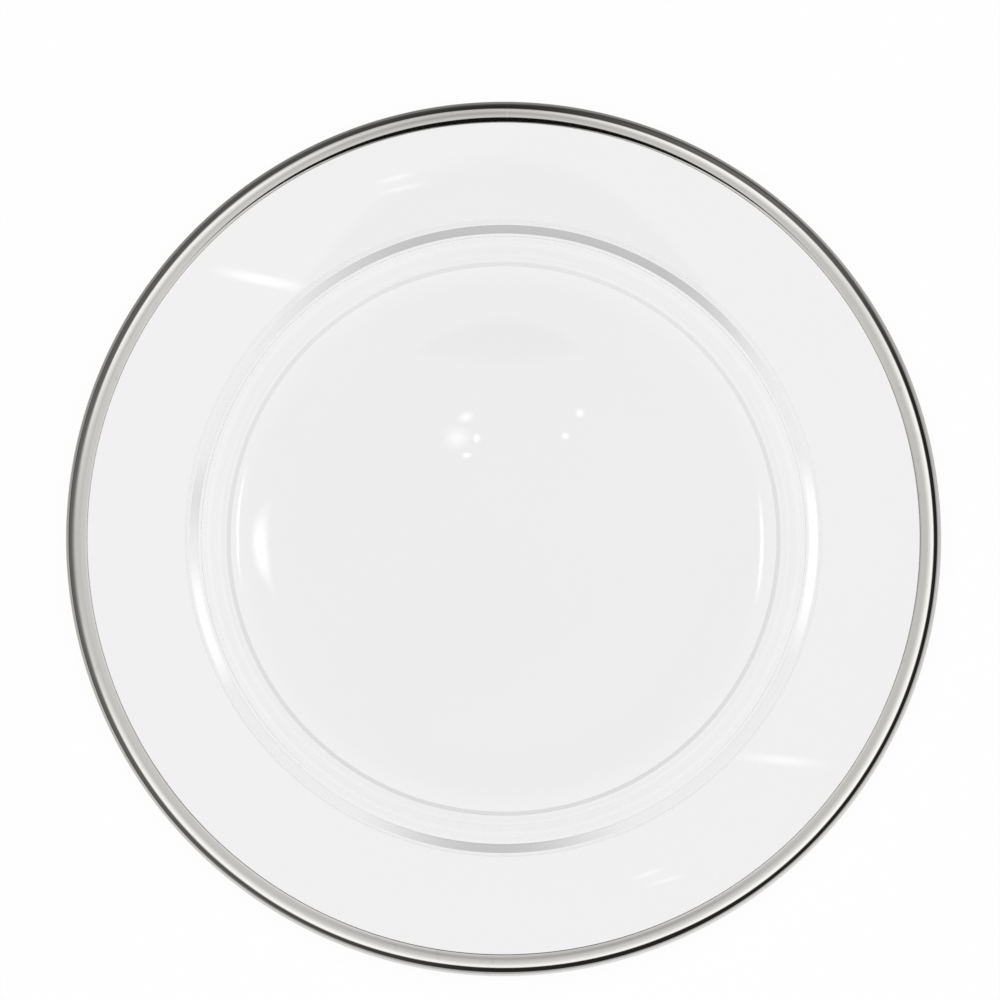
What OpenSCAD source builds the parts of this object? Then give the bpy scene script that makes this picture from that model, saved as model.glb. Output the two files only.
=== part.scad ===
// Charger plate: a pressed clear-glass dish with a wide rim on a foot ring,
// closed at its edge by a silver band that is rolled over the glass.
// Millimetres. The origin is the centre of the base, +Z is up.

/* [Plate] */
// Outside diameter, over the silver band
plate_d = 330; // [290:1:360]

/* [Well] */
// Thickness of the floor at its centre
floor_t = 4.5; // [4.2:0.1:6]
// Diameter of the floor's flat middle
floor_flat_d = 156; // [150:1:180]
// Radius of the shallow dish that rises round the flat middle
dish_r = 95; // [60:1:120]
// Diameter at which the dish turns up into the cove
well_d = 212.2; // [206:0.2:216]
// Radius of the cove
cove_r = 4; // [2:0.1:6]
// Slope of the well's wall, in degrees above level
wall_slope = 45; // [35:1:55]

/* [Rim] */
// Diameter at which the wall meets the rim
shoulder_d = 228.8; // [224:0.2:230]
// Radius that rounds the shoulder
shoulder_r = 0.8; // [0.3:0.1:2]
// Thickness of the rim
rim_t = 4; // [3:0.1:5]
// Height that the rim gains from the shoulder out to the band
rim_rise = 2.8; // [0:0.1:6]
// How far the rolled glass edge stands proud of the rim on each side
edge_swell = 0.55; // [0.2:0.05:1.2]

/* [Underside] */
// Outside diameter of the foot ring, where it stands on the table
foot_d = 240.2; // [237:0.2:244]
// Width of the foot ring's flat
foot_flat = 0.3; // [0.2:0.1:1]
// Width of the bevel on the inside of the foot ring
foot_bevel_w = 3.6; // [2:0.1:4.5]
// Slope of that bevel, in degrees
foot_bevel_slope = 42; // [35:0.5:45]
// Draft of the foot ring's outside, in degrees off upright
foot_draft = 2; // [0.5:0.5:5]
// Radius where the foot ring's outside meets the underside of the rim
hollow_r = 0.2; // [0.1:0.05:1]
// Diameter of the flat base
base_d = 209.2; // [204:0.2:210]
// Width of the bevel at the edge of the base
base_bevel_w = 1.5; // [1:0.1:2]
// Slope of that bevel, in degrees
base_bevel_slope = 46; // [38:0.5:55]
// Radius on the edges of the underside
edge_r = 0.15; // [0.1:0.05:0.5]

/* [Silver band] */
// Width of the band, seen from above
band_w = 8.4; // [6.5:0.1:10]
// Thickness of its metal
band_t = 0.4; // [0.2:0.05:0.8]
// Play between the metal and the glass
band_gap = 0.05; // [0.02:0.01:0.1]
// Radius across the band's crowned top
crown_r = 9.5; // [7:0.1:12]
// Slope at which the crown hands over to the round edge, in degrees
crown_turn = 20; // [10:1:30]
// How far the band tucks under the glass past its lowest point, in degrees
band_tuck = 18; // [5:1:35]

/* [Hidden] */
// Facets of the preview, round the plate's axis
$fn = 180;
// Largest turn between two neighbouring points of an arc
arc_step = 4;
// Largest turn between two neighbouring points of a small rounded edge
fillet_step = 12;
// Largest gap between an arc and the straight lines that stand for it
arc_sag = 0.01;

plate_r = plate_d / 2;

// The floor's top face: a flat middle, a shallow dish, then the cove
dish_turn = asin((well_d - floor_flat_d) / 2 / dish_r);
dish_c = [floor_flat_d / 2, floor_t + dish_r];
dish_end = on_arc(dish_c, dish_r, 180 - dish_turn);
cove_c = dish_end + cove_r * [-sin(dish_turn), cos(dish_turn)];
cove_end = on_arc(cove_c, cove_r, 180 - wall_slope);
wall_top = [
    shoulder_d / 2,
    cove_end[1] + (shoulder_d / 2 - cove_end[0]) * tan(wall_slope)
];

// The band's section: a crown, then a round edge, with the glass inside both
glass_edge_r = rim_t / 2 + edge_swell;
band_edge_r = glass_edge_r + band_gap + band_t;
glass_crown_r = crown_r - band_t - band_gap;
crown_x = plate_r - band_edge_r - (crown_r - band_edge_r) * sin(crown_turn);
foot_turn = asin((crown_x - (plate_r - band_w)) / crown_r);

// Where the rim's top face ends, at the band
rim_end = [
    crown_x - glass_crown_r * sin(foot_turn),
    wall_top[1] + rim_rise
];
rim_slope = atan2(rim_rise, rim_end[0] - wall_top[0]);

// Centres of the crown and of the round edge
crown_c = [crown_x, rim_end[1] - glass_crown_r * cos(foot_turn)];
edge_c = crown_c + (crown_r - band_edge_r) * [sin(crown_turn), cos(crown_turn)];

// The underside of the rim, down the outside of the foot ring to the table
under_line = wall_top - [0, rim_t / cos(rim_slope)];
foot_outer = [foot_d / 2, 0];
foot_inner = [foot_d / 2 - foot_flat, 0];
under_corner = crossing(under_line, rim_slope, foot_outer, 90 - foot_draft);

// The channel under the wall, between the foot ring's bevel and the base's
channel_outer = foot_inner + foot_bevel_w * [-1, tan(foot_bevel_slope)];
base_edge = [base_d / 2, 0];
channel_inner = base_edge + base_bevel_w * [1, tan(base_bevel_slope)];

// The underside of the rim runs out to meet a line that leaves the rolled edge
edge_last = on_arc(edge_c, glass_edge_r, 180 + band_tuck);
swell_start = crossing(under_line, rim_slope, edge_last, 180 - band_tuck);

// A point on an arc, its angle counted from straight up towards the outside
function on_arc(centre, r, a) = centre + r * [sin(a), cos(a)];

// The points of an arc from angle a to angle b, counted as in on_arc
function arc(centre, r, a, b) =
    let (
        step = min(arc_step, 2 * acos(1 - arc_sag / r)),
        n = max(1, ceil(abs(b - a) / step))
    )
    [for (i = [0:n]) on_arc(centre, r, a + (b - a) * i / n)];

// Where the line through p that slopes at a meets the line through q at b
function crossing(p, a, q, b) =
    let (
        d = q - p,
        s = (d[0] * sin(b) - d[1] * cos(b)) / sin(b - a)
    )
    p + s * [cos(a), sin(a)];

// The arc of radius r that rounds the corner between its two neighbours
function fillet(before, corner, after, r) =
    let (
        u = (before - corner) / norm(before - corner),
        v = (after - corner) / norm(after - corner),
        half = acos(u * v) / 2,
        centre = corner + (u + v) / norm(u + v) * r / sin(half),
        first = corner + u * r / tan(half) - centre,
        last = corner + v * r / tan(half) - centre,
        turn = 180 - 2 * half,
        side = sign(first[0] * last[1] - first[1] * last[0]),
        n = max(2, ceil(turn / fillet_step))
    )
    [for (i = [0:n]) let (t = side * turn * i / n)
        centre + [
            first[0] * cos(t) - first[1] * sin(t),
            first[0] * sin(t) + first[1] * cos(t)
        ]];

// Half of the glass's section, from the axis out over the top and back below
glass_outline = concat(
    [[0, floor_t]],
    arc(dish_c, dish_r, 180, 180 - dish_turn),
    arc(cove_c, cove_r, 180 - dish_turn - arc_step, 180 - wall_slope),
    fillet(cove_end, wall_top, rim_end, shoulder_r),
    arc(crown_c, glass_crown_r, -foot_turn, crown_turn),
    arc(edge_c, glass_edge_r, crown_turn, 180 + band_tuck),
    [swell_start],
    fillet(swell_start, under_corner, foot_outer, hollow_r),
    fillet(under_corner, foot_outer, foot_inner, edge_r),
    fillet(foot_outer, foot_inner, channel_outer, edge_r),
    fillet(foot_inner, channel_outer, channel_inner, edge_r),
    fillet(channel_outer, channel_inner, base_edge, edge_r),
    fillet(channel_inner, base_edge, [0, 0], edge_r),
    [[0, 0]]
);

// The metal's section: its outer face, then the same arcs back one metal
// thickness further in
band_outline = concat(
    arc(crown_c, crown_r, -foot_turn, crown_turn),
    arc(edge_c, band_edge_r, crown_turn, 180 + band_tuck),
    arc(edge_c, band_edge_r - band_t, 180 + band_tuck, crown_turn),
    arc(crown_c, crown_r - band_t, crown_turn, -foot_turn)
);

// The glass dish: floor, wall, rim, rolled edge and foot ring in one piece
module plate_body() {
    color([0.93, 0.95, 0.95, 0.35])
        rotate_extrude() polygon(glass_outline);
}

// The silver band, rolled over the glass edge and tucked in underneath
module rim_band() {
    color([0.83, 0.82, 0.79])
        rotate_extrude() polygon(band_outline);
}

plate_body();
rim_band();
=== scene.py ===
# %% [markdown]
# # A glass charger plate with a silver band
# A charger plate lies under the dinner plate all through a meal. This one is
# clear pressed glass, with a silver band rolled over its edge. It is made of
# two bodies turned about one axis, so two half sections and one lathe make
# both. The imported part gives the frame, and everything is placed in it.

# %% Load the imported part
import math
import random

import bmesh
import bpy
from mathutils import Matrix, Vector


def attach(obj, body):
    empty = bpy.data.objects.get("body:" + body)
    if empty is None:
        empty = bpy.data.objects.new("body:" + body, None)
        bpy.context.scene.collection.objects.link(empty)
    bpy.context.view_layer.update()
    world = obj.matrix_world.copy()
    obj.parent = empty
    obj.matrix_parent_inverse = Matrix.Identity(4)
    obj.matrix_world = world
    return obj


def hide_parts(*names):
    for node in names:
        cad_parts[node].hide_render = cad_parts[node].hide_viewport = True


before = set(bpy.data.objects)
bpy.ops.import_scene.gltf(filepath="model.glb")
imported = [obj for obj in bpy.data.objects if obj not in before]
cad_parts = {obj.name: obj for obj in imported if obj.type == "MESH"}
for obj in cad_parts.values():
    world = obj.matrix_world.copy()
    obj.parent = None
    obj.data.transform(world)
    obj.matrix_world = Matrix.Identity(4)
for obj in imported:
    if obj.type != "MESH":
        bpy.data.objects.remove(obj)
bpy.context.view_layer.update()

# %% [markdown]
# ## The camera
# The photograph looks down on the plate from a step away, a little from the
# front. A long lens from 1.5 m keeps the rim a circle. The plate sits low in
# the picture, so the camera aims at a point just behind the plate's centre.

# %% Set up the camera
CAMERA_PLACE = Vector((0.0, -0.057, 1.5))
AIM_POINT = Vector((-0.0017, 0.0146, 0.0))
LENS = 141.7
SENSOR = 36.0

camera_data = bpy.data.cameras.new("overhead_camera")
camera_data.lens = LENS
camera_data.sensor_width = SENSOR
camera = bpy.data.objects.new("overhead_camera", camera_data)
bpy.context.scene.collection.objects.link(camera)
camera.location = CAMERA_PLACE
camera.rotation_euler = (AIM_POINT - CAMERA_PLACE).to_track_quat("-Z", "Y").to_euler()
bpy.context.scene.camera = camera
bpy.context.scene.view_settings.view_transform = "Standard"
print("camera at", tuple(CAMERA_PLACE))

# %% [markdown]
# ## The sizes
# The plate is designed in millimetres, as on a maker's drawing. The same few
# sizes drive both sections, so the band always fits the edge that it grips.

# %% Write down the plate's sizes
MM = 0.001
PLATE_R = 165.0
FLOOR_T = 4.5
FLOOR_FLAT_R = 78.0
DISH_R = 95.0
WELL_R = 106.1
COVE_R = 4.0
WALL_SLOPE = 45.0
SHOULDER_AT = 114.4
SHOULDER_R = 0.1
RIM_T = 4.0
RIM_RISE = 2.8
EDGE_SWELL = 0.55
FOOT_AT = 120.1
FOOT_FLAT = 0.3
FOOT_BEVEL_W = 3.6
FOOT_BEVEL_SLOPE = 42.0
FOOT_DRAFT = 2.0
HOLLOW_R = 0.02
BASE_AT = 104.6
BASE_BEVEL_W = 1.5
BASE_BEVEL_SLOPE = 46.0
EDGE_R = 0.015
BAND_W = 8.4
BAND_T = 0.4
BAND_GAP = 0.05
CROWN_R = 9.5
CROWN_TURN = 20.0
BAND_TUCK = 18.0

# %% [markdown]
# ## Drawing a section
# A section is a list of points, each a distance from the axis and a height.
# Arcs are drawn from their centres. A clear piece shows every wrong normal,
# so each straight stretch gets a point close to either end: smooth shading
# then turns only inside the arcs and leaves the flats flat.

# %% Draw arcs, corners and straight stretches
ARC_STEP = 3.0
CORNER_STEP = 8.0
HOLD = 0.05
SHORTEST_HELD = 3 * HOLD
STRETCH_STEP = 4.0
SAME_POINT = 1e-4


def turned(angle):
    """The direction at an angle in degrees, counted from straight up outwards."""
    return Vector((math.sin(math.radians(angle)), math.cos(math.radians(angle))))


def arc(centre, radius, first, last, step=ARC_STEP):
    """The points of an arc between two such angles."""
    count = max(2, math.ceil(abs(last - first) / step))
    return [centre + radius * turned(first + (last - first) * i / count) for i in range(count + 1)]


def slope(angle):
    """The direction that rises outwards at an angle above level."""
    return Vector((math.cos(math.radians(angle)), math.sin(math.radians(angle))))


def crossing(p, a, q, b):
    """Where the line through p at slope a meets the line through q at slope b."""
    away = q - p
    run = away.x * math.sin(math.radians(b)) - away.y * math.cos(math.radians(b))
    return p + slope(a) * run / math.sin(math.radians(b - a))


def rounded(before, corner, after, radius, step=CORNER_STEP):
    """The arc that rounds a corner between its two neighbours."""
    u = (before - corner).normalized()
    v = (after - corner).normalized()
    half = u.angle(v) / 2
    centre = corner + (u + v).normalized() * radius / math.sin(half)
    first = corner + u * radius / math.tan(half) - centre
    last = corner + v * radius / math.tan(half) - centre
    sweep = first.angle_signed(last)
    count = max(4, math.ceil(math.degrees(abs(sweep)) / step))
    points = []
    for i in range(count + 1):
        t = -sweep * i / count
        points.append(centre + Vector((
            first.x * math.cos(t) - first.y * math.sin(t),
            first.x * math.sin(t) + first.y * math.cos(t),
        )))
    return points


def joined(runs):
    """One outline from several runs of points, its straight stretches held and divided."""
    outline = []
    for run in runs:
        if outline:
            start = outline[-1]
            length = (run[0] - start).length
            if length > SHORTEST_HELD:
                way = (run[0] - start) / length
                count = max(1, math.ceil(length / STRETCH_STEP))
                stops = [HOLD] + [length * i / count for i in range(1, count)] + [length - HOLD]
                outline += [start + way * stop for stop in stops]
        for point in run:
            if not outline or (point - outline[-1]).length > SAME_POINT:
                outline.append(point)
    return outline


# %% [markdown]
# ## The glass section
# The floor is flat in the middle and rises round it in a shallow dish. A
# tight cove turns it up into the wall, and a small radius turns the wall out
# into the rim. Underneath, the plate stands on its flat base and on a foot
# ring, with a channel between them that thins the glass under the wall. Seen
# from above, the wide bevel inside the foot ring is a mirror within the glass
# and shows as a broad grey ring. The narrow bevel at the edge of the base
# bends the view aside and shows as a thin one.

# %% Lay out the glass section
DISH_STEP = 0.7

dish_turn = math.degrees(math.asin((WELL_R - FLOOR_FLAT_R) / DISH_R))
dish_centre = Vector((FLOOR_FLAT_R, FLOOR_T + DISH_R))
dish_end = dish_centre + DISH_R * turned(180 - dish_turn)
cove_centre = dish_end - COVE_R * turned(180 - dish_turn)
cove_end = cove_centre + COVE_R * turned(180 - WALL_SLOPE)
wall_top = crossing(cove_end, WALL_SLOPE, Vector((SHOULDER_AT, 0)), 90)

glass_edge_r = RIM_T / 2 + EDGE_SWELL
band_edge_r = glass_edge_r + BAND_GAP + BAND_T
glass_crown_r = CROWN_R - BAND_T - BAND_GAP
crown_x = PLATE_R - band_edge_r - (CROWN_R - band_edge_r) * math.sin(math.radians(CROWN_TURN))
foot_turn = math.degrees(math.asin((crown_x - (PLATE_R - BAND_W)) / CROWN_R))

rim_end = Vector((crown_x - glass_crown_r * math.sin(math.radians(foot_turn)), wall_top.y + RIM_RISE))
rim_slope = math.degrees(math.atan2(RIM_RISE, rim_end.x - wall_top.x))
crown_centre = rim_end - glass_crown_r * turned(-foot_turn)
edge_centre = crown_centre + (CROWN_R - band_edge_r) * turned(CROWN_TURN)

under_line = wall_top - Vector((0, RIM_T / math.cos(math.radians(rim_slope))))
foot_outer = Vector((FOOT_AT, 0))
foot_inner = Vector((FOOT_AT - FOOT_FLAT, 0))
under_corner = crossing(under_line, rim_slope, foot_outer, 90 - FOOT_DRAFT)
foot_bevel = FOOT_BEVEL_W * Vector((-1, math.tan(math.radians(FOOT_BEVEL_SLOPE))))
channel_outer = foot_inner + foot_bevel
base_edge = Vector((BASE_AT, 0))
channel_inner = base_edge + BASE_BEVEL_W * Vector((1, math.tan(math.radians(BASE_BEVEL_SLOPE))))
edge_last = edge_centre + glass_edge_r * turned(180 + BAND_TUCK)
swell_start = crossing(under_line, rim_slope, edge_last, 180 - BAND_TUCK)

glass_outline = joined([
    [Vector((0, FLOOR_T))],
    arc(dish_centre, DISH_R, 180, 180 - dish_turn, DISH_STEP),
    arc(cove_centre, COVE_R, 180 - dish_turn, 180 - WALL_SLOPE),
    rounded(cove_end, wall_top, rim_end, SHOULDER_R),
    arc(crown_centre, glass_crown_r, -foot_turn, CROWN_TURN),
    arc(edge_centre, glass_edge_r, CROWN_TURN, 180 + BAND_TUCK),
    rounded(edge_last, swell_start, under_corner, HOLLOW_R),
    rounded(swell_start, under_corner, foot_outer, HOLLOW_R),
    rounded(under_corner, foot_outer, foot_inner, EDGE_R),
    rounded(foot_outer, foot_inner, channel_outer, EDGE_R),
    rounded(foot_inner, channel_outer, channel_inner, EDGE_R),
    rounded(channel_outer, channel_inner, base_edge, EDGE_R),
    rounded(channel_inner, base_edge, Vector((0, 0)), EDGE_R),
    [Vector((0, 0))],
])
print("glass section:", len(glass_outline), "points, rim at", round(rim_end.y, 2), "mm")

# %% [markdown]
# ## The lathe
# Both bodies are turned, so one function spins a section into a mesh of
# quads. It works from angles in a list, because the band needs a few extra
# ones at its seam, and it takes a function that may move each point a little.

# %% Spin a section into a mesh
TURN_STEPS = 720
AXIS_NEAR = 1e-6


def spin(name, outline, angles, closed, nudge=None):
    """A lathe-turned mesh object. nudge(point, angle, place) gives the moved point."""
    vertices = []
    rings = []
    for place, point in enumerate(outline):
        if point.x < AXIS_NEAR:
            on_axis = nudge(point, 0.0, place) if nudge else point
            rings.append([len(vertices)] * len(angles))
            vertices.append((0, 0, on_axis.y * MM))
            continue
        rings.append(list(range(len(vertices), len(vertices) + len(angles))))
        for angle in angles:
            moved = nudge(point, angle, place) if nudge else point
            across = moved.x * MM
            vertices.append((across * math.cos(angle), across * math.sin(angle), moved.y * MM))
    faces = []
    for i in range(len(rings) if closed else len(rings) - 1):
        inner = rings[i]
        outer = rings[(i + 1) % len(rings)]
        for k in range(len(angles)):
            after = (k + 1) % len(angles)
            corners = [inner[k], outer[k], outer[after], inner[after]]
            faces.append(list(dict.fromkeys(corners)))
    mesh = bpy.data.meshes.new(name)
    mesh.from_pydata(vertices, [], faces)
    shape = bmesh.new()
    shape.from_mesh(mesh)
    bmesh.ops.recalc_face_normals(shape, faces=shape.faces)
    shape.to_mesh(mesh)
    shape.free()
    mesh.shade_smooth()
    piece = bpy.data.objects.new(name, mesh)
    bpy.context.scene.collection.objects.link(piece)
    print(name, "has", len(mesh.polygons), "faces")
    return piece


even_angles = [2 * math.pi * k / TURN_STEPS for k in range(TURN_STEPS)]

# %% [markdown]
# ## The glass dish
# Pressed glass is never quite flat: the mould's chill leaves its top face
# faintly wavy, a few hundredths of a millimetre over a few centimetres. The
# waves are real shape here, a sum of a few long ripples in seeded directions,
# and they die away under the band so that the metal still fits.

# %% Spin the glass with its faint waves
RIPPLE_HEIGHT = 0.006
RIPPLE_LENGTHS = (34.0, 41.0, 53.0, 62.0, 78.0)
RIPPLE_END = 150.0
RIPPLE_FADE = 6.0
RIPPLE_SEED = 7

ripple_draw = random.Random(RIPPLE_SEED)
ripples = []
for length in RIPPLE_LENGTHS:
    heading = ripple_draw.uniform(0, math.pi)
    start = ripple_draw.uniform(0, 2 * math.pi)
    ripples.append((2 * math.pi / length, heading, start))


def ripple(x, y):
    """Height of the waves at a place, in millimetres."""
    return sum(
        RIPPLE_HEIGHT * math.cos(rate * (x * math.cos(heading) + y * math.sin(heading)) + start)
        for rate, heading, start in ripples
    )


top_count = next(i for i, point in enumerate(glass_outline) if point.x > RIPPLE_END)


def waved(point, angle, place):
    """A point of the glass, lifted by the waves if it lies on the top face."""
    if place >= top_count:
        return point
    fade = min(1.0, max(0.0, (RIPPLE_END - point.x) / RIPPLE_FADE))
    lift = ripple(point.x * math.cos(angle), point.x * math.sin(angle))
    return Vector((point.x, point.y + fade * lift))


dish = spin("glass_dish", glass_outline, even_angles, False, waved)
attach(dish, "root")
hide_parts("plate_body")

# %% [markdown]
# ## The silver band
# The band is a strip of thin metal bent to a crowned section, closed into a
# hoop and rolled over the glass. Where its two ends meet there is a hairline
# seam. Its section is one set of arcs out and the same arcs back, one metal
# thickness further in. At the seam the outer face dips towards the inner one.

# %% Spin the band with its seam
SEAM_ANGLE = math.radians(90.8)
SEAM_OFFSETS = (-0.08, -0.03, 0.0, 0.03, 0.08)
SEAM_DEPTH_SHARES = (0.0, 0.0, 0.03, 0.0, 0.0)
CLEAR_OF_SEAM = math.radians(0.1)
CROWN_STEP = 2.0

band_outer = arc(crown_centre, CROWN_R, -foot_turn, CROWN_TURN, CROWN_STEP)
band_outer += arc(edge_centre, band_edge_r, CROWN_TURN, 180 + BAND_TUCK)[1:]
band_inner = arc(crown_centre, CROWN_R - BAND_T, -foot_turn, CROWN_TURN, CROWN_STEP)
band_inner += arc(edge_centre, band_edge_r - BAND_T, CROWN_TURN, 180 + BAND_TUCK)[1:]
band_outline = band_outer + band_inner[::-1]

seam_angles = {}
for offset, share in zip(SEAM_OFFSETS, SEAM_DEPTH_SHARES):
    seam_angles[SEAM_ANGLE + math.radians(offset)] = share
band_angles = [angle for angle in even_angles if abs(angle - SEAM_ANGLE) > CLEAR_OF_SEAM]
band_angles = sorted(band_angles + list(seam_angles))


def seamed(point, angle, place):
    """A point of the band, sunk towards the inner face at the seam."""
    share = seam_angles.get(angle, 0.0)
    if place >= len(band_outer) or share == 0.0:
        return point
    return point.lerp(band_inner[place], share)


band = spin("silver_band", band_outline, band_angles, True, seamed)
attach(band, "root")
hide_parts("rim_band")

# %% [markdown]
# ## Writing shaders as sums
# A shader is a network of nodes, but a formula is easier to read. A small
# class wraps a socket, so that adding or multiplying two of them adds the
# Maths node that does it. A second one adds any other node from its type, its
# settings and what goes into its sockets.

# %% Wrap sockets and node trees


class Signal:
    """A number that varies, and can be written into a sum."""

    def __init__(self, tree, socket):
        self.tree = tree
        self.socket = socket

    def __add__(self, other):
        return self.tree.sum("ADD", self, other)

    def __radd__(self, other):
        return self.tree.sum("ADD", other, self)

    def __sub__(self, other):
        return self.tree.sum("SUBTRACT", self, other)

    def __rsub__(self, other):
        return self.tree.sum("SUBTRACT", other, self)

    def __mul__(self, other):
        return self.tree.sum("MULTIPLY", self, other)

    def __rmul__(self, other):
        return self.tree.sum("MULTIPLY", other, self)

    def __truediv__(self, other):
        return self.tree.sum("DIVIDE", self, other)

    def __rtruediv__(self, other):
        return self.tree.sum("DIVIDE", other, self)

    def __pow__(self, other):
        return self.tree.sum("POWER", self, other)

    def rise(self, low, high):
        """A smooth step from 0 at low to 1 at high."""
        wants = {"Value": self, "From Min": low, "From Max": high}
        return self.tree.add("ShaderNodeMapRange", {"interpolation_type": "SMOOTHSTEP"}, wants)["Result"]

    def hill(self, middle, reach):
        """A smooth hill of height 1 round the middle, down to 0 at its reach."""
        away = self.tree.sum("ABSOLUTE", self - middle)
        return 1 - away.rise(0.0, reach)

    def between(self, low, high, soft):
        """1 from low to high and 0 outside, with soft ends."""
        return self.rise(low - soft, low + soft) * (1 - self.rise(high - soft, high + soft))


class Tree:
    """A node tree that nodes are added to by formula."""

    def __init__(self, owner):
        self.nodes = owner.node_tree.nodes
        self.links = owner.node_tree.links

    def feed(self, socket, value):
        """Links a signal into a socket, or sets the socket's own value."""
        if isinstance(value, Signal):
            self.links.new(value.socket, socket)
        else:
            socket.default_value = value

    def add(self, kind, settings=None, values=None):
        """Adds a node and returns its outputs by name."""
        node = self.nodes.new(kind)
        for name, setting in (settings or {}).items():
            setattr(node, name, setting)
        for name, value in (values or {}).items():
            self.feed(node.inputs[name], value)
        return {output.name: Signal(self, output) for output in node.outputs if output.enabled}

    def sum(self, operation, *numbers):
        """Adds one Maths node."""
        values = {place: number for place, number in enumerate(numbers)}
        return self.add("ShaderNodeMath", {"operation": operation}, values)["Value"]


# %% [markdown]
# ## Clear glass
# The glass is nearly colourless. Its faint grey is partly the grey that its
# iron leaves and partly painted shade from the table under it. The floor is
# the thickest part, and it is painted a touch greyer than the rim, which is
# painted shade. A Principled shader with full transmission bends light at each
# face as glass does. Its surface isn't perfect. A cloth has left dull wipes on
# it, which are soft noise on the roughness, too weak to see except in
# highlights. A very weak bump stands for the orange peel that the mould leaves.

# %% Make the clear glass
# The glass tint is partly the glass's own grey and partly painted shade; the floor's greyer tint is
# painted shade.
GLASS_TINT = (0.933, 0.933, 0.933, 1.0)
SHADED_FLOOR_TINT = (0.902, 0.902, 0.902, 1.0)
GLASS_IOR = 1.5
WIPE_SCALE = 22.0
WIPE_ONSET = (0.55, 0.75)
WIPE_ROUGHNESS = 0.012
FILM_SCALE = 9.0
FILM_SHARE = 0.5
FLOOR_SHARE = 0.85
FLOOR_ENDS = (0.094, 0.106)
PEEL_SCALE = 70.0
PEEL_BUMP = {"Strength": 0.05, "Distance": 0.0001}

clear_glass = bpy.data.materials.new("clear_glass")
clear_glass.use_nodes = True
glass_tree = Tree(clear_glass)
glass_shader = glass_tree.nodes["Principled BSDF"]
glass_shader.inputs["Transmission Weight"].default_value = 1.0
glass_shader.inputs["IOR"].default_value = GLASS_IOR
glass_place = glass_tree.add("ShaderNodeTexCoord")["Object"]
wipes = glass_tree.add("ShaderNodeTexNoise", None, {
    "Vector": glass_place,
    "Scale": WIPE_SCALE,
    "Detail": 3.0,
    "Roughness": 0.6,
})["Fac"]
glass_tree.feed(glass_shader.inputs["Roughness"], wipes.rise(*WIPE_ONSET) * WIPE_ROUGHNESS)
film = glass_tree.add(
    "ShaderNodeTexNoise", None, {"Vector": glass_place, "Scale": FILM_SCALE, "Detail": 2.0}
)["Fac"]
glass_split = glass_tree.add("ShaderNodeSeparateXYZ", None, {"Vector": glass_place})
from_axis = (glass_split["X"] * glass_split["X"] + glass_split["Y"] * glass_split["Y"]) ** 0.5
# Painted shade on the well floor, mixed with a random film tone.
greyer = (1 - from_axis.rise(*FLOOR_ENDS)) * FLOOR_SHARE + (film - 0.5) * FILM_SHARE
film_and_shade = glass_tree.add("ShaderNodeMix", {"data_type": "RGBA"}, {
    0: greyer,
    6: GLASS_TINT,
    7: SHADED_FLOOR_TINT,
})["Result"]
glass_tree.feed(glass_shader.inputs["Base Color"], film_and_shade)
orange_peel = glass_tree.add(
    "ShaderNodeTexNoise", None, {"Vector": glass_place, "Scale": PEEL_SCALE, "Detail": 1.0}
)["Fac"]
skin = glass_tree.add("ShaderNodeBump", None, {"Height": orange_peel, **PEEL_BUMP})
glass_tree.feed(glass_shader.inputs["Normal"], skin["Normal"])
dish.data.materials.append(clear_glass)

# %% [markdown]
# ## Polished silver
# Polished silver is a mirror with a warm cast. Up close it carries the marks
# of the buff: fine rings that follow the hoop. The rings are noise on a
# coordinate that runs fast across the band and slowly along it, which gives a
# little roughness and a very weak bump. Towards the outer flank the silver is
# painted a darker grey, a painted dark reflection, and it is painted darker
# still towards the back of the hoop than at the front, as painted shade.

# %% Make the polished silver
SILVER = (0.80, 0.79, 0.765, 1.0)
# The flank's dark grey is a painted dark reflection.
SHADED_FLANK_SILVER = (0.16, 0.155, 0.15, 1.0)
BUFF_ACROSS = 2600.0
BUFF_ALONG = 9.0
BUFF_BUMP = {"Strength": 0.05, "Distance": 0.00002}
POLISH_ROUGHNESS = 0.03
BUFF_ROUGHNESS = 0.06
SPOT_SCALE = 260.0
SPOT_ONSET = (0.62, 0.8)
SPOT_SHARE = 0.12
FLANK = (0.1632, 0.1641)
FLANK_SHADE_MEAN = 0.52
FLANK_SHADE_SWING = 0.44
FLANK_SHADE_START = math.radians(20)

silver = bpy.data.materials.new("silver")
silver.use_nodes = True
silver_tree = Tree(silver)
silver_shader = silver_tree.nodes["Principled BSDF"]
silver_shader.inputs["Metallic"].default_value = 1.0
silver_place = silver_tree.add("ShaderNodeTexCoord")["Object"]
split = silver_tree.add("ShaderNodeSeparateXYZ", None, {"Vector": silver_place})
ring_radius = (split["X"] * split["X"] + split["Y"] * split["Y"]) ** 0.5
ring_angle = silver_tree.sum("ARCTAN2", split["Y"], split["X"])
buff_place = silver_tree.add("ShaderNodeCombineXYZ", None, {
    "X": ring_radius * BUFF_ACROSS,
    "Y": split["Z"] * BUFF_ACROSS,
    "Z": ring_angle * BUFF_ALONG,
})["Vector"]
buff = silver_tree.add("ShaderNodeTexNoise", None, {
    "Vector": buff_place,
    "Scale": 1.0,
    "Detail": 2.0,
})["Fac"]
spots = silver_tree.add("ShaderNodeTexNoise", None, {"Vector": silver_place, "Scale": SPOT_SCALE})["Fac"]
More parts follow.
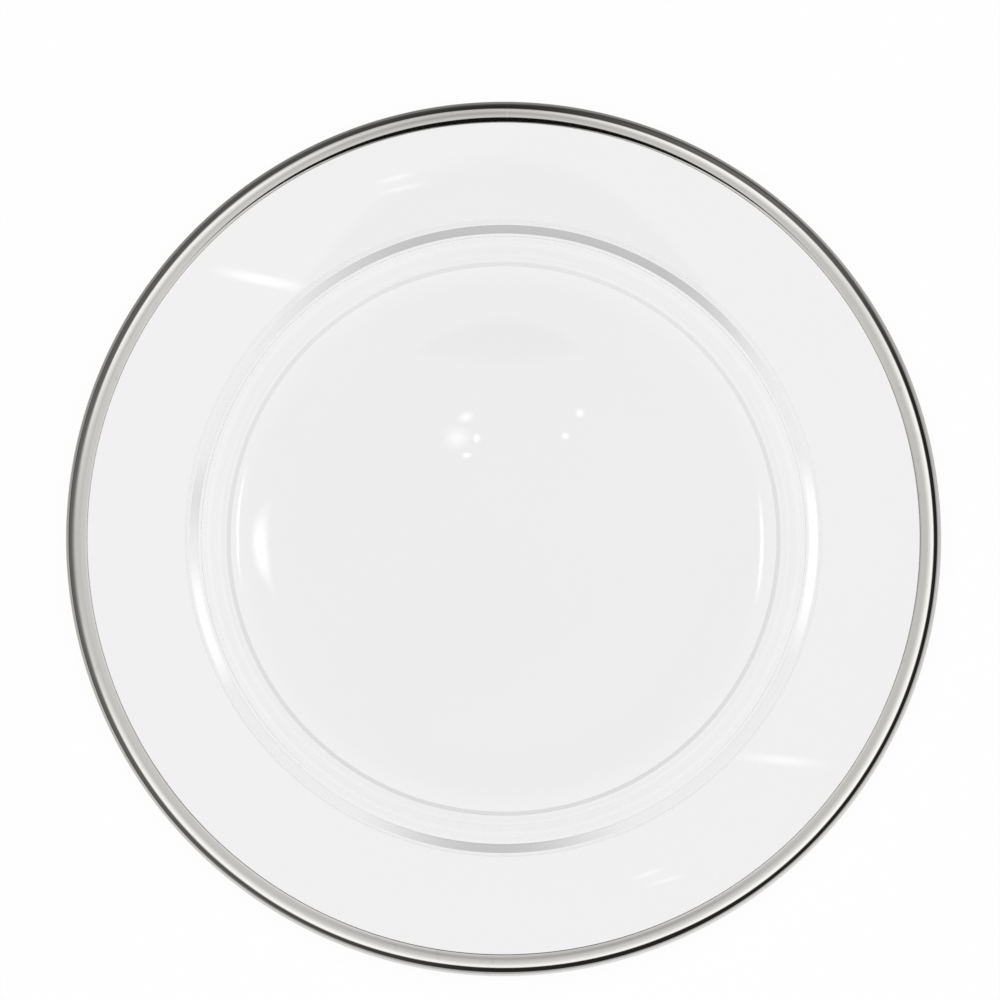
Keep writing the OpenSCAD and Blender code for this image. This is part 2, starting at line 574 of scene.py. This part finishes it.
# Painted shade: the flank's grey is painted darker towards the back of the hoop than at the front.
back_shade = FLANK_SHADE_MEAN + FLANK_SHADE_SWING * silver_tree.sum("SINE", ring_angle - FLANK_SHADE_START)
flank_shade = ring_radius.rise(*FLANK) * back_shade
silver_colour = silver_tree.add("ShaderNodeMix", {"data_type": "RGBA"}, {
    0: flank_shade + spots.rise(*SPOT_ONSET) * SPOT_SHARE,
    6: SILVER,
    7: SHADED_FLANK_SILVER,
})["Result"]
silver_tree.feed(silver_shader.inputs["Base Color"], silver_colour)
silver_tree.feed(silver_shader.inputs["Roughness"], buff * BUFF_ROUGHNESS + POLISH_ROUGHNESS)
bumped = silver_tree.add("ShaderNodeBump", None, {"Height": buff, **BUFF_BUMP})
silver_tree.feed(silver_shader.inputs["Normal"], bumped["Normal"])
band.data.materials.append(silver)

# %% [markdown]
# ## The table
# The plate lies on a white table that runs out of the picture. White paper
# in a studio is lit until it is plain white, so what the camera sees of it,
# directly, in the metal or through the glass, is mostly its own light. The
# rest is an ordinary matt white that keeps the plate's soft shadow.

# %% Lay the table
TABLE_SIZE = 24.0
TABLE_GAP = 0.0003
TABLE_WHITE = (0.9, 0.9, 0.9, 1.0)
SEEN_SHARE = 0.95
MIRRORED_SHARE = 0.5

bpy.ops.mesh.primitive_plane_add(size=TABLE_SIZE, location=(0, 0, -TABLE_GAP))
table = bpy.context.object
table.name = "white_table"
white_paper = bpy.data.materials.new("white_paper")
white_paper.use_nodes = True
paper_tree = Tree(white_paper)
paper_shader = paper_tree.nodes["Principled BSDF"]
paper_shader.inputs["Base Color"].default_value = TABLE_WHITE
paper_shader.inputs["Roughness"].default_value = 1.0
paper_shader.inputs["Specular IOR Level"].default_value = 0.0
seen = paper_tree.add("ShaderNodeLightPath")
direct = paper_tree.sum("MAXIMUM", seen["Is Camera Ray"], seen["Is Transmission Ray"])
glow_share = paper_tree.sum("MAXIMUM", direct * SEEN_SHARE, seen["Is Glossy Ray"] * MIRRORED_SHARE)
own_light = paper_tree.add("ShaderNodeEmission", None, {"Strength": 1.0})["Emission"]
paper_mix = paper_tree.add("ShaderNodeMixShader", None, {0: glow_share, 2: own_light})["Shader"]
paper_tree.links.new(paper_shader.outputs["BSDF"], paper_mix.socket.node.inputs[1])
paper_tree.links.new(paper_mix.socket, paper_tree.nodes["Material Output"].inputs["Surface"])
table.data.materials.append(white_paper)

# %% [markdown]
# ## The studio
# A mirror has no colour of its own: silver looks like silver because of the
# room. The room is a pale ceiling straight above, a dark belt where the
# ceiling ends, and pale walls down at the table. The walls have a gap at the
# front and one at the back, and the bevel of the foot ring, which looks out
# level, shows both as grey. A window on the left makes its ring bright there.
# All of it is a formula of the direction: how far it lies from straight up,
# and its bearing, counted in degrees from the right over the back.

# %% Find where each direction of the studio points
studio = bpy.data.worlds.new("studio")
studio.use_nodes = True
bpy.context.scene.world = studio
room = Tree(studio)
heading_parts = room.add("ShaderNodeSeparateXYZ", None, {
    "Vector": room.add("ShaderNodeTexCoord")["Generated"],
})
east, north, up = heading_parts["X"], heading_parts["Y"], heading_parts["Z"]
level = room.sum("MAXIMUM", (east * east + north * north) ** 0.5, 0.001)
from_zenith = room.sum("ARCCOSINE", up) * (180 / math.pi)
bearing = room.sum("FRACT", room.sum("ARCTAN2", north, east) / (2 * math.pi) + 1) * 360
southward = 0 - north / level
eastward = east / level
westward = room.sum("MAXIMUM", 0 - eastward, 0)
print("the studio has a bearing and a distance from straight up")

# %% [markdown]
# The ceiling's edge isn't a circle. It reaches a few degrees further down at
# the back and at the front left, and less far at the front. That makes the
# lines on the band wander a little. A hill is given by its bearing and its
# reach, and a notch or a gap by its two ends and how soft they are.

# %% Paint the ceiling
CEILING_END = 31
BACK_DROP, BACK_HILL = 5, (115, 45)
FRONT_LEFT_DROP, FRONT_LEFT_HILL = 3, (222, 30)
FRONT_LIFT, FRONT_NOTCH = 5, (256, 304, 10)
FADE = 3.0
LEFT_FADE = 9
FAR_LEFT = (0.88, 1.0)
CEILING_LEVEL = 0.69
CEILING_LEAN = 0.03
DIP_DEPTH = 0.20
DIP_BEARINGS = (72, 120, 12)
DIP_RING = (14.0, 13.0)

ceiling_edge = (
    CEILING_END
    + BACK_DROP * bearing.hill(*BACK_HILL)
    + FRONT_LEFT_DROP * bearing.hill(*FRONT_LEFT_HILL)
    - FRONT_LIFT * bearing.between(*FRONT_NOTCH)
)
fade = FADE + westward.rise(*FAR_LEFT) * LEFT_FADE
ceiling = 1 - ((from_zenith - ceiling_edge) / fade).rise(-1.0, 1.0)
dip = bearing.between(*DIP_BEARINGS) * from_zenith.hill(*DIP_RING)
ceiling_level = CEILING_LEVEL + eastward * CEILING_LEAN + southward * CEILING_LEAN - dip * DIP_DEPTH
print("the ceiling ends", CEILING_END, "degrees from straight up")

# %% Paint the dark belt under it
BELT_LEVEL = 0.02
BELT_LEFT = 0.13
BELT_BACK, BELT_BACK_HILL = 0.14, (58, 38)
LOW_LEVEL = 0.08
LOW_FRONT, LOW_FRONT_TURN = 0.48, (-0.2, 0.9)
LOW_LEFT = 0.06
BELT_END = (50.0, 66.0)

belt_level = BELT_LEVEL + westward * BELT_LEFT + bearing.hill(*BELT_BACK_HILL) * BELT_BACK
low_level = LOW_LEVEL + (eastward + southward).rise(*LOW_FRONT_TURN) * LOW_FRONT + westward * LOW_LEFT
walls_low = belt_level + from_zenith.rise(*BELT_END) * (low_level - belt_level)
print("the belt ends", BELT_END[0], "to", BELT_END[1], "degrees from straight up")

# %% Paint the walls and put the studio on the world
WALL_LEVEL = 0.93
GAP_DEPTH = 0.32
BACK_GAP = (47, 122, 17)
FRONT_GAP = (254, 285, 14)
WINDOW_LIGHT, WINDOW = 0.17, (186, 205, 5)
CORNER_DEPTH, CORNER = 0.11, (172, 10)
RIGHT_LIGHT, FAR_RIGHT = 0.20, (0.94, 1.0)
HORIZON = (79.0, 82.0)

gaps = bearing.between(*BACK_GAP) + bearing.between(*FRONT_GAP)
window = bearing.between(*WINDOW)
corner = bearing.hill(*CORNER)
right_wall = eastward.rise(*FAR_RIGHT)
wall_level = (
    WALL_LEVEL
    - gaps * GAP_DEPTH
    + window * WINDOW_LIGHT
    - corner * CORNER_DEPTH
    + right_wall * RIGHT_LIGHT
)
horizon = from_zenith.rise(*HORIZON)
below_ceiling = walls_low + horizon * (wall_level - walls_low)
studio_level = below_ceiling + ceiling * (ceiling_level - below_ceiling)
room.feed(room.nodes["Background"].inputs["Strength"], studio_level)
room.nodes["Background"].inputs["Color"].default_value = (1.0, 1.0, 1.0, 1.0)
print("the studio takes", len(studio.node_tree.nodes), "nodes")

# %% [markdown]
# ## The lamps
# One wide overhead panel lights the table and is kept out of reflections,
# because the ceiling of the studio already stands for it there. A ring lamp
# shines on the band alone and draws the bright line along its top. Two lamps
# on the right draw the crescent on the left of the well and the thin line on
# its right. The specks on the floor and the streaks on the rim are tiny lamps
# that hang low over the plate.

# %% Hang the overhead panel
PANEL_H = 2.2
PANEL_SIZE = 2.4
PANEL_WATTS = 44.0


def lamp(name, place, size, watts):
    """A rectangular lamp that looks straight down and that the camera doesn't see."""
    data = bpy.data.lights.new(name, "AREA")
    data.shape = "RECTANGLE"
    data.size, data.size_y = size
    data.energy = watts
    holder = bpy.data.objects.new(name, data)
    bpy.context.scene.collection.objects.link(holder)
    holder.location = place
    holder.visible_camera = False
    return holder


panel = lamp("overhead_panel", (0.0, 0.0, PANEL_H), (PANEL_SIZE, PANEL_SIZE), PANEL_WATTS)
panel.visible_glossy = False
panel.visible_transmission = False
print("the panel hangs at", PANEL_H, "m")

# %% [markdown]
# The other lamps only make reflections. Each is linked to the one piece that
# mirrors it, and a pattern paints its face: brightest in the middle and dark
# at the edges, so that its image has no hard outline.

# %% Paint the face of a lamp


def linked_to(name, piece):
    """A collection of one piece, for a lamp that lights nothing else."""
    group = bpy.data.collections.new(name)
    group.objects.link(piece)
    return group


def mirrored(name, place, size, group, pattern):
    """A lamp that only its group mirrors. pattern(u, v) is its brightness, u and v from -1 to 1."""
    holder = lamp(name, place, size, math.pi * size[0] * size[1])
    holder.visible_diffuse = False
    holder.light_linking.receiver_collection = group
    holder.data.use_nodes = True
    glow = Tree(holder.data)
    face = glow.add("ShaderNodeSeparateXYZ", None, {
        "Vector": glow.add("ShaderNodeNewGeometry")["Parametric"],
    })
    brightness = pattern(face["X"] * 2 - 1, face["Y"] * 2 - 1)
    glow.feed(glow.nodes["Emission"].inputs["Strength"], brightness)
    return holder


# %% Hang the ring lamp over the band
RING_H = 1.0
RING_SIZE = 1.7
RING_LEVEL = 0.47
RING_START = (0.18, 0.62)
RING_OUTER = 0.74
RING_END = (-0.05, 0.02)
RING_NOTCH_DEPTH, RING_NOTCH = 0.07, (256, 304, 10)
RING_BACK_GAP = (97, 32)
RING_LEFT_GAP = (180, 36)
RING_RIGHT_GAP_DEPTH, RING_RIGHT_GAP = 0.5, (40, 18)


def ring_pattern(u, v):
    """A ring of light with gaps to the back and to the left."""
    out = (u * u + v * v) ** 0.5 * (RING_SIZE / 2)
    turn = u.tree.sum("FRACT", u.tree.sum("ARCTAN2", v, u) / (2 * math.pi) + 1) * 360
    outer = RING_OUTER - turn.between(*RING_NOTCH) * RING_NOTCH_DEPTH
    gap = turn.hill(*RING_BACK_GAP) + turn.hill(*RING_LEFT_GAP)
    gap = gap + turn.hill(*RING_RIGHT_GAP) * RING_RIGHT_GAP_DEPTH
    kept = 1 - u.tree.sum("MINIMUM", gap, 1)
    return out.rise(*RING_START) * (1 - (out - outer).rise(*RING_END)) * kept * RING_LEVEL


band_only = linked_to("band_only", band)
mirrored("ring_lamp", (0.0, 0.0, RING_H), (RING_SIZE, RING_SIZE), band_only, ring_pattern)
print("the ring lamp hangs at", RING_H, "m")

# %% Hang the two lamps on the right
RIGHT_LAMP_H = 1.5
RIGHT_LAMPS = [
    ("right_lamp", 0.28, 0.075, 0.26, 0.11, 6.0, False),
    ("far_right_lamp", 0.567, 0.05, 0.05, 0.30, 8.0, True),
]
dish_only = linked_to("dish_only", dish)


def glint(name, place, size, brightness, both_faces=False):
    """A soft-edged lamp that only the glass mirrors, with its upper face or with both. Metres."""
    def soft(u, v):
        return u.hill(0, 1) * v.hill(0, 1) * brightness

    holder = mirrored(name, place, size, dish_only, soft)
    holder.visible_transmission = both_faces
    return holder


for name, x, y, width, depth, brightness, both_faces in RIGHT_LAMPS:
    glint(name, (x, y, RIGHT_LAMP_H), (width, depth), brightness, both_faces)
print("two lamps hang on the right, at", RIGHT_LAMP_H, "m")

# %% [markdown]
# A speck on the glass is the image of a tiny lamp. The law of mirrors says
# where to hang it: follow the camera's ray down to the speck's place, reflect
# it there and go up again to the lamp's height. Each row gives, in
# millimetres, the place of the speck and the size of its lamp, then its
# brightness and the degrees by which it is turned.

# %% Hang the tiny lamps of the specks and streaks
LOW_LAMP_H = 0.07
SPECKS = [
    (-15.5, 45.8, 8.5, 5.6, 4.0, 20),
    (-18.7, 37.6, 14.0, 12.0, 2.8, 0),
    (-11.8, 37.7, 6.5, 5.0, 6.0, 0),
    (-14.6, 31.4, 5.2, 4.4, 6.0, 30),
    (27.9, 48.1, 4.4, 4.2, 6.0, 0),
    (22.6, 39.3, 4.0, 3.6, 6.0, -20),
    (-93.6, 95.1, 46.0, 6.0, 4.4, -11),
    (-44.4, 134.6, 20.0, 3.0, 2.1, 16),
    (-41.1, 130.9, 24.0, 2.8, 2.0, 14),
    (106.4, -81.6, 44.0, 5.4, 2.6, -6),
    (57.1, -125.4, 18.0, 2.8, 1.8, 20),
    (63.9, -127.7, 20.0, 2.6, 1.6, 18),
]


def over(x, y, height):
    """Where a lamp at this height shows in the glass at x, y. All in metres."""
    radius = math.hypot(x, y)
    on_rim = radius > SHOULDER_AT * MM
    face_z = rim_end.y * MM if on_rim else FLOOR_T * MM
    lean = math.radians(rim_slope) if on_rim else 0.0
    normal = Vector((-x / radius * math.sin(lean), -y / radius * math.sin(lean), math.cos(lean)))
    spot = Vector((x, y, face_z))
    away = (spot - CAMERA_PLACE).reflect(normal)
    return spot + away * (height - face_z) / away.z


for number, (x, y, width, depth, brightness, heading) in enumerate(SPECKS, 1):
    place = over(x * MM, y * MM, LOW_LAMP_H)
    speck_lamp = glint(f"speck_lamp_{number}", place, (width * MM, depth * MM), brightness)
    speck_lamp.rotation_euler = (0, 0, math.radians(heading))

# %% [markdown]
# ## The flag
# Photographers hold a small black card, a flag, near shiny metal to draw a
# dark line on it. This one is a crescent that hangs low over the back of the
# plate, where only the inner slope of the band mirrors it. The camera doesn't
# see it, and it throws no shadow. The card round the crescent is clear.

# %% Hang the flag
FLAG_H = 0.17
FLAG_SIZE = 0.36
FLAG_RING = 0.112
FLAG_MIDDLE = 92.0
FLAG_REACH = 52.0
FLAG_WIDTH = 0.034
THINNEST_CARD = 0.00001
CARD_EDGE = (0.75, 1.1)
CARD_BLACK = (0.01, 0.01, 0.01, 1.0)

bpy.ops.mesh.primitive_plane_add(size=FLAG_SIZE, location=(0, 0, FLAG_H))
flag = bpy.context.object
flag.name = "black_flag"
flag.visible_camera = False
flag.visible_diffuse = False
flag.visible_transmission = False
flag.visible_shadow = False
black_card = bpy.data.materials.new("black_card")
black_card.use_nodes = True
card_tree = Tree(black_card)
card_shader = card_tree.nodes["Principled BSDF"]
card_shader.inputs["Base Color"].default_value = CARD_BLACK
card_shader.inputs["Specular IOR Level"].default_value = 0.0
card_place = card_tree.add("ShaderNodeSeparateXYZ", None, {
    "Vector": card_tree.add("ShaderNodeTexCoord")["Object"],
})
card_radius = (card_place["X"] * card_place["X"] + card_place["Y"] * card_place["Y"]) ** 0.5
card_turn = card_tree.sum("ARCTAN2", card_place["Y"], card_place["X"]) * (180 / math.pi)
card_width = THINNEST_CARD + card_turn.hill(FLAG_MIDDLE, FLAG_REACH) * FLAG_WIDTH
from_arc = card_tree.sum("ABSOLUTE", card_radius - FLAG_RING) / card_width
clear = card_tree.add("ShaderNodeBsdfTransparent")["BSDF"]
card_mix = card_tree.add("ShaderNodeMixShader", None, {0: from_arc.rise(*CARD_EDGE), 2: clear})["Shader"]
card_tree.links.new(card_shader.outputs["BSDF"], card_mix.socket.node.inputs[1])
card_tree.links.new(card_mix.socket, card_tree.nodes["Material Output"].inputs["Surface"])
flag.data.materials.append(black_card)
print("the flag hangs at", FLAG_H, "m")
